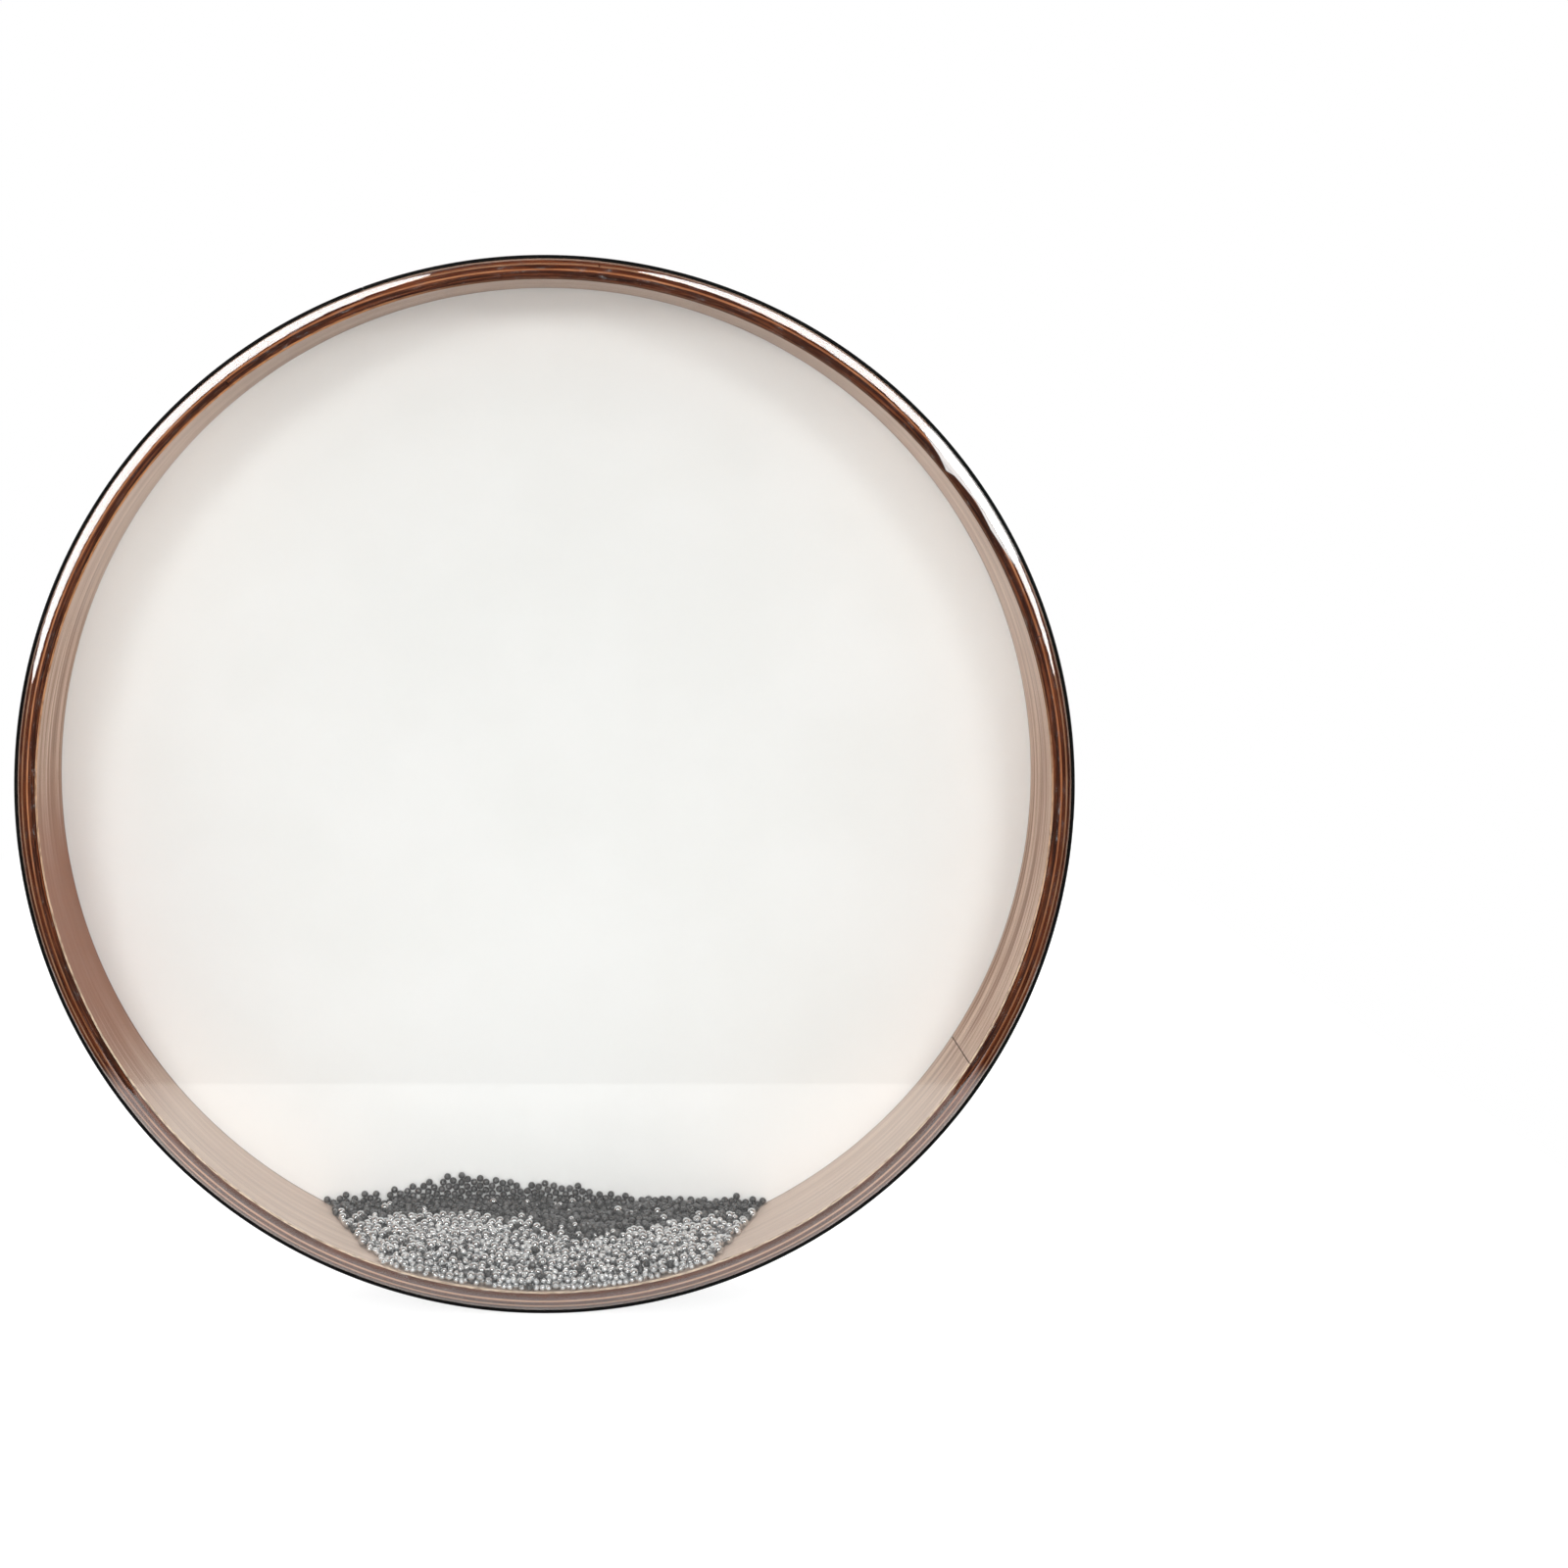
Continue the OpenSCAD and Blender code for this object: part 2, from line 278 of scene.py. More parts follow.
def ply_extra(tree, place, colour):
    """The wide ply is redder inside and purplish towards its outer glue line."""
    colour = mid_extra(tree, place, colour)
    return mix_colour(tree, zone(tree, axes(tree, place)["Z"], *PURPLE_ZONE), colour, PLY_PURPLE)


def crossband_extra(index):
    """A crossband is lightest in its middle and dark where the glue lines stain it."""
    middle = (LAYER_R[index] + LAYER_R[index + 1]) / 2.0

    def stain(tree, place, colour):
        off = math_node(tree, "ABSOLUTE", math_node(tree, "SUBTRACT", axes(tree, place)["Z"], middle))
        # Painted reflection: lighter low down
        colour = painted_low_veil(tree, colour, CROSS_PAINTED_VEIL, 0.6)
        return mix_colour(tree, zone(tree, off, *STAIN_ZONE), colour, GLUE_STAIN)

    return stain


# Share of light that one surface of the film mirrors head on, on the flat pane and on the rounded edge
PANE_MIRROR = 0.042
EDGE_MIRROR = 0.115
ON_EDGE = (194.5, 197.0)
# The film lies dull against the tight curve, apart from low down
TIGHT_START = (195.9, 196.3)
TIGHT_END = (197.6, 197.35)
DULL_HEIGHT = (-0.05, 0.0)


def clear_film():
    """Polyester film: mostly clear, with mirror reflections that grow towards grazing angles."""
    material, tree = new_material("clear_film")
    place = hoop_coordinates(tree, 0.0)
    radius = axes(tree, place)["Z"]
    on_edge = mask(tree, radius, *ON_EDGE)
    tight = times(tree, mask(tree, radius, *TIGHT_START), mask(tree, radius, *TIGHT_END))
    dull = times(tree, tight, mask(tree, axes(tree)["Z"], *DULL_HEIGHT))
    ripple = noise(tree, place, (0.09, 0.1, 0.25), detail=2.0)
    fine = noise(tree, place, (0.35, 0.5, 0.5), detail=2.0)
    height = times(tree, math_node(tree, "MULTIPLY_ADD", fine, 0.12, ripple), on_edge)
    bumped = add(tree, "Bump", {"Strength": 0.13, "Distance": 0.0004, "Height": height}).outputs[0]
    facing = add(tree, "LayerWeight", {"Blend": 0.5, "Normal": bumped}).outputs["Facing"]
    head_on = math_node(tree, "MULTIPLY_ADD", on_edge, EDGE_MIRROR - PANE_MIRROR, PANE_MIRROR)
    head_on = times(tree, head_on, math_node(tree, "SUBTRACT", 1.0, dull))
    grazing = times(tree, math_node(tree, "POWER", facing, 5.0), 1.0 - EDGE_MIRROR)
    share = math_node(tree, "ADD", head_on, grazing)
    clear = add(tree, "BsdfTransparent", {"Color": (0.99, 0.99, 0.985, 1.0)})
    gloss = add(tree, "BsdfGlossy", {"Color": (1.0, 1.0, 1.0, 1.0), "Roughness": 0.03, "Normal": bumped})
    mixed = add(tree, "MixShader", {0: share, 1: clear.outputs[0], 2: gloss.outputs[0]})
    add(tree, "OutputMaterial", {"Surface": mixed.outputs[0]})
    return material


# Where the glue looks milky: degrees, and how far it reaches inward in mm
# Painted highlight: the milky glue also paints the inward reach of the rim's white highlight
MILK_AND_HIGHLIGHT_REACH = [
    (25.0, 0.0), (28.0, 1.2), (30.0, 1.7), (33.6, 0.9), (37.3, 1.9), (38.3, 3.2), (40.0, 1.7), (43.5, 0.0),
]
MILK_R = 197.9
MILK_EDGE = (-0.15, 0.25)
MILK_ENDS = ((0.0, 0.08), (1.0, 0.92))
MILK_THICK = (0.3, 0.62)
# Small milky patches in the rest of the glue
PATCH_RANGE = (0.52, 0.75)
SPECK_RANGE = (0.35, 0.7)
GLUE_TONE = (0.84, 0.80, 0.80, 1.0)


def milky_patch_and_highlight(tree, place, seam):
    """The share of milk at a place: a wavy patch at the upper right, from the bevel inward, which also
    paints in the rim's highlight there.
    """
    wrap = axes(tree, place)
    degrees = math_node(tree, "MULTIPLY_ADD", wrap["X"], 180.0 / math.pi / HOOP_IN_R, seam + 180.0)
    first, last = MILK_AND_HIGHLIGHT_REACH[0][0], MILK_AND_HIGHLIGHT_REACH[-1][0]
    along = math_node(tree, "DIVIDE", math_node(tree, "SUBTRACT", degrees, first), last - first)
    most = max(reach for _, reach in MILK_AND_HIGHLIGHT_REACH)
    stops = [((turn - first) / (last - first), (reach / most,) * 3) for turn, reach in MILK_AND_HIGHLIGHT_REACH]
    inner = math_node(tree, "MULTIPLY_ADD", ramp(tree, along, stops), -most, MILK_R)
    inside = mask(tree, math_node(tree, "SUBTRACT", wrap["Z"], inner), *MILK_EDGE)
    ends = times(tree, *(mask(tree, along, *end) for end in MILK_ENDS))
    return times(tree, inside, ends)


def glue(name, seam, cover, patch=None):
    """Dried glue: clear where it wets the wood, milky in small patches."""
    material, tree = new_material(name)
    place = hoop_coordinates(tree, seam)
    patches = noise(tree, place, (0.16, 0.5, 0.7), detail=5.0, rough=0.6)
    specks = noise(tree, place, (0.8, 1.5, 1.5), detail=2.0)
    milk = times(tree, mask(tree, patches, *PATCH_RANGE), mask(tree, specks, *SPECK_RANGE))
    share = times(tree, milk, cover)
    if patch:
        thick = math_node(tree, "MULTIPLY_ADD", patches, *MILK_THICK)
        share = math_node(tree, "MAXIMUM", share, times(tree, patch(tree, place, seam), thick))
    clear = add(tree, "BsdfTransparent")
    body = add(tree, "BsdfPrincipled", {"Base Color": GLUE_TONE, "Roughness": 0.35})
    mixed = add(tree, "MixShader", {0: share, 1: clear.outputs[0], 2: body.outputs[0]})
    add(tree, "OutputMaterial", {"Surface": mixed.outputs[0]})
    return material


# The white film: two tones of its clouds, its grain, and painted light that lifts the shade on its inner
# side near the hoop
CLOUD_TONES = ((0.862, 0.874, 0.872), (0.884, 0.896, 0.898))
GRAIN_TONE = (0.83, 0.836, 0.83)
PAINTED_LIGHT_TONE = (0.94, 0.94, 0.935)
PAINTED_LIGHT_RANGE = (150.0, 194.0)


def white_film():
    """Opaque white film with a fine grain."""
    material, tree = new_material("white_film")
    place = add(tree, "TexCoord").outputs["Object"]
    cloud = noise(tree, place, (18.0, 18.0, 18.0), detail=4.0)
    grain = noise(tree, place, (420.0, 420.0, 420.0), detail=3.0, rough=0.7)
    colour = mix_colour(tree, mask(tree, cloud, 0.35, 0.7), *CLOUD_TONES)
    colour = mix_colour(tree, mask(tree, grain, 0.58, 0.8), colour, GRAIN_TONE)
    radius = axes(tree, hoop_coordinates(tree, 0.0))["Z"]
    facing = axes(tree, add(tree, "NewGeometry").outputs["True Normal"])["Y"]
    # Painted light: the inner side is lighter near the hoop, against the shade there
    inner = times(tree, mask(tree, radius, *PAINTED_LIGHT_RANGE), math_node(tree, "LESS_THAN", facing, -0.5))
    colour = mix_colour(tree, inner, colour, PAINTED_LIGHT_TONE)
    surface(tree, colour, math_node(tree, "MULTIPLY_ADD", grain, 0.15, 0.42), 0.3, grain, 0.12)
    return material


def strip_material(name, seam, dark, light, gloss):
    """A scuffed strip with a fine grain."""
    material, tree = new_material(name)
    place = hoop_coordinates(tree, seam)
    grain = noise(tree, place, (0.6, 1.6, 1.6), detail=4.0, rough=0.65)
    scuff = noise(tree, place, (0.05, 0.9, 0.9), detail=5.0, rough=0.7)
    colour = mix_colour(tree, mask(tree, scuff, 0.5, 0.8), dark, light)
    surface(tree, colour, math_node(tree, "MULTIPLY_ADD", grain, 0.2, gloss), 0.07, grain, 0.2)
    return material


def steel(name, level, rough):
    """Polished steel with a faint cool tint."""
    material, tree = new_material(name)
    tint = (0.965 * level, 0.985 * level, level, 1.0)
    shader = add(tree, "BsdfPrincipled", {"Base Color": tint, "Metallic": 1.0, "Roughness": rough})
    add(tree, "OutputMaterial", {"Surface": shader.outputs[0]})
    return material


# Revolved pieces

WELD_M = 1e-7


def finish_piece(name, mesh, material, body, nodes, sharp=35.0):
    """Weld the mesh, shade it and enter it as a piece that replaces its nodes."""
    bm = bmesh.new()
    bm.from_mesh(mesh)
    bmesh.ops.remove_doubles(bm, verts=bm.verts, dist=WELD_M)
    bmesh.ops.recalc_face_normals(bm, faces=bm.faces)
    bm.to_mesh(mesh)
    bm.free()
    mesh.shade_smooth()
    mesh.set_sharp_from_angle(angle=math.radians(sharp))
    mesh.materials.append(material)
    piece = bpy.data.objects.new(name, mesh)
    SCENE.collection.objects.link(piece)
    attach(piece, body)
    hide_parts(*nodes)


def revolved_mesh(name, section, seam=None, gap_at=BAND_IN_R):
    """A closed section, a list of (radius, y) in millimetres for each angle, turned round the Y axis."""
    if seam is None:
        angles = np.linspace(0.0, 2.0 * math.pi, STEPS, endpoint=False)
    else:
        half_gap = SEAM_GAP / 2.0 / gap_at
        start = math.radians(seam)
        angles = np.linspace(start + half_gap, start + 2.0 * math.pi - half_gap, STEPS + 1)
    rings = np.array([section(angle) for angle in angles])
    count = rings.shape[1]
    x = rings[:, :, 0] * np.cos(angles)[:, None]
    z = rings[:, :, 0] * np.sin(angles)[:, None]
    points = np.stack([x, rings[:, :, 1], z], axis=2).reshape(-1, 3) * MM
    spans = len(angles) if seam is None else len(angles) - 1
    i, j = np.meshgrid(np.arange(spans), np.arange(count), indexing="ij")
    after_i = (i + 1) % len(angles)
    after_j = (j + 1) % count
    quads = np.stack(
        [i * count + j, i * count + after_j, after_i * count + after_j, after_i * count + j], axis=2
    ).reshape(-1, 4)
    faces = quads.tolist()
    if seam is not None:
        faces.append(list(range(count)))
        faces.append([(len(angles) - 1) * count + k for k in range(count)][::-1])
    mesh = bpy.data.meshes.new(name)
    mesh.from_pydata(points.tolist(), [], faces)
    return mesh


EDGE_POINTS = 10


def edge_curve(radii, turns, start_r, end_y, toward_front, grow):
    """A rounded outer edge as arcs of different radii, from flat on the face to square on the side."""
    points = []
    r = start_r
    y = 0.0
    for radius, low, high in zip(radii, turns[:-1], turns[1:]):
        base = math.radians(low)
        for k in range(EDGE_POINTS):
            a = math.radians(low + (high - low) * k / EDGE_POINTS)
            points.append(
                (
                    r + radius * (math.sin(a) - math.sin(base)) + grow * math.sin(a),
                    y + radius * (math.cos(base) - math.cos(a)) - grow * math.cos(a),
                )
            )
        last = math.radians(high)
        r += radius * (math.sin(last) - math.sin(base))
        y += radius * (math.cos(base) - math.cos(last))
    points.append((r + grow, y))
    side = -1.0 if toward_front else 1.0
    return np.array([(pr, side * (end_y - py)) for pr, py in points])


# The front edge is a near flat bevel between two tighter curves; the bevel takes what they leave
TIGHT_R = 1.28
SHOULDER_R = 4.2
BEVEL_TURNS = (36.0, 50.0)
BEVEL_START, BEVEL_END = (math.sin(math.radians(turn)) for turn in BEVEL_TURNS)
BEVEL_R = (FRONT_ROUND - TIGHT_R * BEVEL_START - SHOULDER_R * (1.0 - BEVEL_END)) / (BEVEL_END - BEVEL_START)


def front_edge(grow):
    """The front edge's curve, moved outward by a layer's thickness."""
    radii = (TIGHT_R, BEVEL_R, SHOULDER_R)
    turns = (0.0, *BEVEL_TURNS, 90.0)
    return edge_curve(radii, turns, HOOP_OUT_R - FRONT_ROUND, HOOP_END_Y, True, grow)


def rear_edge(grow):
    """The rear edge's curve, moved outward by a layer's thickness."""
    return edge_curve((REAR_ROUND,), (0.0, 90.0), HOOP_OUT_R - REAR_ROUND, HOOP_END_Y, False, grow)


def ripple_sum(angle, cycles, phases):
    """Several waves round the hoop, together between -1 and 1."""
    return sum(math.sin(n * angle + p) for n, p in zip(cycles, phases)) / len(cycles)


# The bevel wanders inward a little in mm, more at the upper right: a guess at the wavy highlights
SHIFT_CYCLES = (9, 23, 37, 61, 88)
SHIFT_PHASES = (0.4, 2.1, 4.4, 1.2, 5.3)
SHIFT_SMALL = 0.22
DIP_AT = math.radians(38.3)
DIP_RAMPS = (math.radians(0.7), math.radians(2.6))
DIP_SHIFT = 0.5
WIDE_SHIFT = 0.35
WIDE_OFF = math.radians(-6.0)
WIDE_HALF = math.radians(5.5)


def edge_shift(angle):
    """How far in mm the bevel lies inward at an angle."""
    away = (angle - DIP_AT + math.pi) % (2.0 * math.pi) - math.pi
    width = DIP_RAMPS[0] if away < 0.0 else DIP_RAMPS[1]
    small = SHIFT_SMALL * (0.5 + 0.5 * ripple_sum(angle, SHIFT_CYCLES, SHIFT_PHASES))
    wide = WIDE_SHIFT * math.exp(-(((away - WIDE_OFF) / WIDE_HALF) ** 4))
    return small + wide + DIP_SHIFT * math.exp(-((away / width) ** 2))


def shifted(edge, angle):
    """The front edge's curve at an angle: the bevel moves inward whole and the shoulder takes it up."""
    moved = edge.copy()
    fade = np.interp(np.arange(len(edge)), (2 * EDGE_POINTS, len(edge) - 1), (1.0, 0.0))
    moved[:, 0] -= edge_shift(angle) * fade
    return moved


HOOP_FRONT = front_edge(0.0)
HOOP_REAR = rear_edge(0.0)
GLUE_OUT = front_edge(GLUE_T - HAIR)
GLUE_IN = front_edge(HAIR)
FILM_OUT = front_edge(GLUE_T + FILM_T)
FILM_IN = front_edge(GLUE_T)
REAR_GLUE_OUT = rear_edge(GLUE_T - HAIR)
REAR_GLUE_IN = rear_edge(HAIR)
REAR_OUT = rear_edge(GLUE_T + FILM_T)
REAR_IN = rear_edge(GLUE_T)


BOUNDARY_WAVE = 0.07


def boundary_wave(index, angle):
    """Each glue line between two plies wanders a little; the hoop's two faces don't."""
    if index in (0, len(LAYER_R) - 1):
        return 0.0
    cycles = (7 + 3 * index, 19 + index, 41 + 5 * index)
    return BOUNDARY_WAVE * ripple_sum(angle, cycles, (index, 2.3 * index, 4.1 * index))


LAYER_POINTS = 9


def layer_section(index, angle):
    """One ply's section, from its front edge's curve to its rear edge's."""
    low = LAYER_R[index] + boundary_wave(index, angle)
    high = LAYER_R[index + 1] + boundary_wave(index + 1, angle)
    radii = np.linspace(low, high, LAYER_POINTS)
    edge = shifted(HOOP_FRONT, angle)
    front = np.interp(radii, edge[:, 0], edge[:, 1])
    rear = np.interp(radii, HOOP_REAR[:, 0], HOOP_REAR[:, 1])
    if index == len(LAYER_R) - 2:
        radii[-1] = HOOP_OUT_R
        front[-1] = HOOP_FRONT[-1, 1]
        rear[-1] = HOOP_REAR[-1, 1]
    return list(zip(radii, front)) + list(zip(radii[::-1], rear[::-1]))


# Each wood in screen levels: dark streaks, middle, light streaks and pores
WASHED = (srgb(152, 114, 92), srgb(190, 156, 134), srgb(224, 196, 176), srgb(140, 102, 80))
DARK_PLY = (srgb(40, 17, 9), srgb(70, 32, 16), srgb(128, 68, 38), srgb(166, 112, 76))
MID_PLY = (srgb(56, 22, 10), srgb(98, 46, 24), srgb(146, 76, 42), srgb(40, 20, 12))
CROSS_PLY = (srgb(132, 76, 46), srgb(164, 102, 66), srgb(190, 132, 94), srgb(112, 62, 36))
LIGHT_PLY = (srgb(154, 98, 68), srgb(182, 126, 92), srgb(206, 158, 124), srgb(120, 74, 50))
OUTER_FACE = (srgb(158, 126, 108), srgb(188, 154, 136), srgb(210, 182, 164), srgb(126, 96, 80))
# The inner wall's painted light, its brown tone low on the left and its painted shade at the top
WALL_PAINTED_LIGHT = srgb(230, 213, 200)
WALL_LOW = srgb(158, 102, 74)
WALL_PAINTED_SHADE = srgb(124, 98, 80)
PLY_PURPLE = srgb(62, 33, 27)
EDGE_UPPER_TONE = srgb(196, 130, 78)
EDGE_DARK = srgb(92, 58, 38)
EDGE_LOWER_TONE = srgb(226, 204, 178)
EDGE_WORN = srgb(104, 66, 44)
# Painted shade for the rear corner
CORNER_PAINTED_SHADE = srgb(96, 72, 58)
GLUE_STAIN = srgb(84, 42, 24)
# Painted reflection of the floor on the plies' edge low down
PLY_PAINTED_VEIL = srgb(108, 60, 38)
CROSS_PAINTED_VEIL = srgb(238, 194, 160)
SEAM_LINE = srgb(72, 44, 28)

# Colours, gloss, streaks round, deep and outward, pores, shine, spread of the streaks and what is added
LAYER_LOOKS = [
    (WASHED, 0.42, (0.006, 0.24, 0.9), 0.45, 0.3, 0.11, inner_face_extra),
    (DARK_PLY, 0.40, (0.030, 0.70, 1.3), 0.35, 0.1, 0.14, ply_extra),
    (CROSS_PLY, 0.45, (0.050, 0.90, 1.6), 0.35, 0.1, 0.14, crossband_extra(2)),
    (MID_PLY, 0.45, (0.040, 0.90, 1.5), 0.40, 0.1, 0.14, mid_extra),
    (LIGHT_PLY, 0.45, (0.055, 0.90, 1.6), 0.35, 0.1, 0.14, crossband_extra(4)),
    (MID_PLY, 0.45, (0.035, 0.90, 1.5), 0.40, 0.1, 0.14, mid_extra),
    (OUTER_FACE, 0.45, (0.030, 0.80, 1.4), 0.45, 0.1, 0.16, None),
]

for index, (layer, seam) in enumerate(LAYERS):
    look = wood(layer, seam, *LAYER_LOOKS[index])
    mesh = revolved_mesh(layer, lambda angle: layer_section(index, angle), seam, LAYER_R[index])
    finish_piece(f"hoop_{layer}", mesh, look, "shell", [layer])


# Glue, heads and side band

def glue_section(outer, inner, side, skirt_y):
    """A thin skin over the hoop's rounded edge, from its inner face to the end of the skirt."""
    start_out = (HOOP_IN_R, side * (HOOP_END_Y + GLUE_T - HAIR))
    start_in = (HOOP_IN_R, side * (HOOP_END_Y + HAIR))
    end_out = (HOOP_OUT_R + GLUE_T - HAIR, skirt_y)
    end_in = (HOOP_OUT_R + HAIR, skirt_y)
    return [start_out, *map(tuple, outer), end_out, end_in, *map(tuple, inner[::-1]), start_in]


def front_glue_section(angle):
    return glue_section(shifted(GLUE_OUT, angle), shifted(GLUE_IN, angle), -1.0, FRONT_SKIRT_Y)


def rear_glue_section(angle):
    return glue_section(REAR_GLUE_OUT, REAR_GLUE_IN, 1.0, REAR_SKIRT_Y)


# Rings of points on the heads' flat part, in millimetres
FLAT_RINGS = [0.0, 40.0, 90.0, 130.0, 160.0, 178.0, 187.0, 191.0, 193.6, 194.6]


def film_section(outer, inner, side, skirt_y):
    """A head: flat over the chamber, turned over the rounded edge, with a skirt down the side."""
    face = [(r, side * FACE_Y) for r in FLAT_RINGS]
    back = [(r, side * (FACE_Y - FILM_T)) for r in FLAT_RINGS]
    return [
        *face, *map(tuple, outer), (BAND_IN_R, skirt_y), (BAND_IN_R - FILM_T, skirt_y),
        *map(tuple, inner[::-1]), *back[::-1],
    ]


def front_film_section(angle):
    return film_section(shifted(FILM_OUT, angle), shifted(FILM_IN, angle), -1.0, FRONT_SKIRT_Y)


def rear_film_section(angle):
    return film_section(REAR_OUT, REAR_IN, 1.0, REAR_SKIRT_Y)


BAND_SOFT = 0.12
TAPE_SHORT = 1.0


def band_section(angle):
    """The strip, with slightly broken outer edges."""
    inner, outer, soft = BAND_IN_R + HAIR, BAND_OUT_R, BAND_SOFT
    return [
        (inner, BAND_FRONT_Y), (outer - soft, BAND_FRONT_Y), (outer, BAND_FRONT_Y + soft),
        (outer, BAND_REAR_Y - soft), (outer - soft, BAND_REAR_Y), (inner, BAND_REAR_Y),
    ]


def tape_section(angle):
    """The adhesive layer between the two skirts."""
    inner, outer = HOOP_OUT_R + HAIR, BAND_IN_R - HAIR
    low, high = FRONT_SKIRT_Y + TAPE_SHORT, REAR_SKIRT_Y - TAPE_SHORT
    return [(inner, low), (outer, low), (outer, high), (inner, high)]


finish_piece(
    "front_glue", revolved_mesh("front_glue", front_glue_section),
    glue("front_glue", 10.0, 0.16, milky_patch_and_highlight),
    "shell", ["front_glue_line"],
)
finish_piece(
    "rear_glue", revolved_mesh("rear_glue", rear_glue_section), glue("rear_glue", 70.0, 0.8),
    "shell", ["rear_glue_line"],
)
finish_piece(
    "front_film", revolved_mesh("front_film", front_film_section), clear_film(),
    "shell", ["front_head"], sharp=40.0,
)
finish_piece(
    "rear_film", revolved_mesh("rear_film", rear_film_section), white_film(),
    "shell", ["rear_head"], sharp=40.0,
)
finish_piece(
    "side_strip", revolved_mesh("side_strip", band_section, BAND_SEAM, BAND_OUT_R),
    strip_material("side_strip", BAND_SEAM, (0.004, 0.004, 0.004), (0.014, 0.014, 0.015), 0.35),
    "shell", ["side_band"],
)
finish_piece(
    "strip_tape", revolved_mesh("strip_tape", tape_section),
    strip_material("strip_tape", 30.0, (0.55, 0.52, 0.46), (0.62, 0.60, 0.55), 0.55),
    "shell", ["band_tape"],
)


# Beads

DARK, LARGE, SMALL = 0, 1, 2
# Radii in millimetres, as are the heap's sizes below
BEAD_R = np.array([1.4, 1.75, 1.2])
FRONT_WALL = -(FACE_Y - FILM_T)
REAR_WALL = FACE_Y - FILM_T
HEAP_FRONT_T = 4.8
HEAP_GROWTH = 28.0
SIDE_FRONT_H = 14.0
SIDE_REAR_H = 24.0
CROWN_X = -22.0
CROWN_W = 90.0
BODY_CROWN_H = 1.0
# The dark crown against the rear head: a broad rise, two narrow peaks and ragged ends
CURTAIN_RISE = 6.1
CURTAIN_W = 48.0
CURTAIN_PEAK = 4.0
PEAK_X = -33.5
PEAK_W = 20.0
SECOND_PEAK = 2.8
SECOND_X = 8.0
SECOND_W = 12.0
RAGGED = 0.9
RAGGED_STEP = 3.0
REACH_R = HOOP_IN_R - 0.05
HEAP_HALF_W = 92.0
# Packing: share of the heap's room that beads fill, tries, their height, rounds and how they calm down
FILL = 0.585
TRIES = 400000
TRY_H = 34.0
TRY_INSET = 1.2
ROUNDS = 280
CALM_ROUNDS = 60.0
FRESH_PAIRS = 4
PULL = 0.06
PUSH = 0.38
PROUD_PUSH = 0.5


def heap_z(x, y):
    """Height of the heap's surface: level at the back and along the rim's curve in front."""
    share = np.clip((y - FRONT_WALL) / (REAR_WALL - FRONT_WALL), 0.0, 1.0)
    rim = -np.sqrt(np.maximum(HOOP_IN_R**2 - x**2, 0.0))
    crown = BODY_CROWN_H * np.maximum(0.0, 1.0 - ((x - CROWN_X) / CROWN_W) ** 2)
    level = SIDE_FRONT_H - HOOP_IN_R + share * (SIDE_REAR_H - SIDE_FRONT_H + crown)
    pile = rim + HEAP_FRONT_T + share * HEAP_GROWTH
    return np.minimum(level, pile)


def surface_slope(points):
    """Directions at right angles to the heap's surface."""
    step = 0.5
    x, y = points[:, 0], points[:, 1]
    dx = (heap_z(x + step, y) - heap_z(x - step, y)) / (2.0 * step)
    dy = (heap_z(x, y + step) - heap_z(x, y - step)) / (2.0 * step)
    up = np.stack([-dx, -dy, np.ones_like(dx)], axis=1)
    return up / np.linalg.norm(up, axis=1)[:, None]


def close_pairs(points, reach):
    """Every pair of points nearer than the reach, found by a grid of cells."""
    cells = np.floor((points - points.min(0)) / reach).astype(np.int64) + 1
    shape = cells.max(0) + 2
    keys = (cells[:, 0] * shape[1] + cells[:, 1]) * shape[2] + cells[:, 2]
    order = np.argsort(keys, kind="stable")
    sorted_keys = keys[order]
    steps = (-1, 0, 1)
    offsets = [(a, b, c) for a in steps for b in steps for c in steps if (a, b, c) >= (0, 0, 0)]
    found = []
    for a, b, c in offsets:
        other = keys + (a * shape[1] + b) * shape[2] + c
        first = np.searchsorted(sorted_keys, other, "left")
        last = np.searchsorted(sorted_keys, other, "right")
        for k in range(int((last - first).max())):
            mine = np.nonzero(first + k < last)[0]
            theirs = order[first[mine] + k]
            if (a, b, c) == (0, 0, 0):
                keep = mine < theirs
                mine, theirs = mine[keep], theirs[keep]
            found.append(np.stack([mine, theirs], axis=1))
    pairs = np.concatenate(found)
    apart = np.linalg.norm(points[pairs[:, 0]] - points[pairs[:, 1]], axis=1)
    return pairs[apart < reach]


def keep_inside(points, radii):
    """Move points back inside the hoop and between the heads."""
    out = np.hypot(points[:, 0], points[:, 2])
    limit = REACH_R - radii
    scale = np.where(out > limit, limit / np.maximum(out, 1e-9), 1.0)
    points[:, 0] *= scale
    points[:, 2] *= scale
    points[:, 1] = np.clip(points[:, 1], FRONT_WALL + radii + 0.02, REAR_WALL - radii - 0.02)


def bead_kinds(points, rng):
    """Dark beads lie at the back, furthest forward right of the middle; the lighter mix lies in front."""
    x, y = points[:, 0], points[:, 1]
    share = (y - FRONT_WALL) / (REAR_WALL - FRONT_WALL)
    turn = 0.72 - 0.32 * np.exp(-(((x - 18.0) / 30.0) ** 2))
    dark = 0.07 + 0.87 * np.clip((share - turn) / 0.14 + 0.5, 0.0, 1.0)
    large = np.where(share < 0.12, 0.15, 0.42)
    pick = rng.random(len(points))
    return np.where(pick < dark, DARK, np.where(pick < dark + (1.0 - dark) * large, LARGE, SMALL))


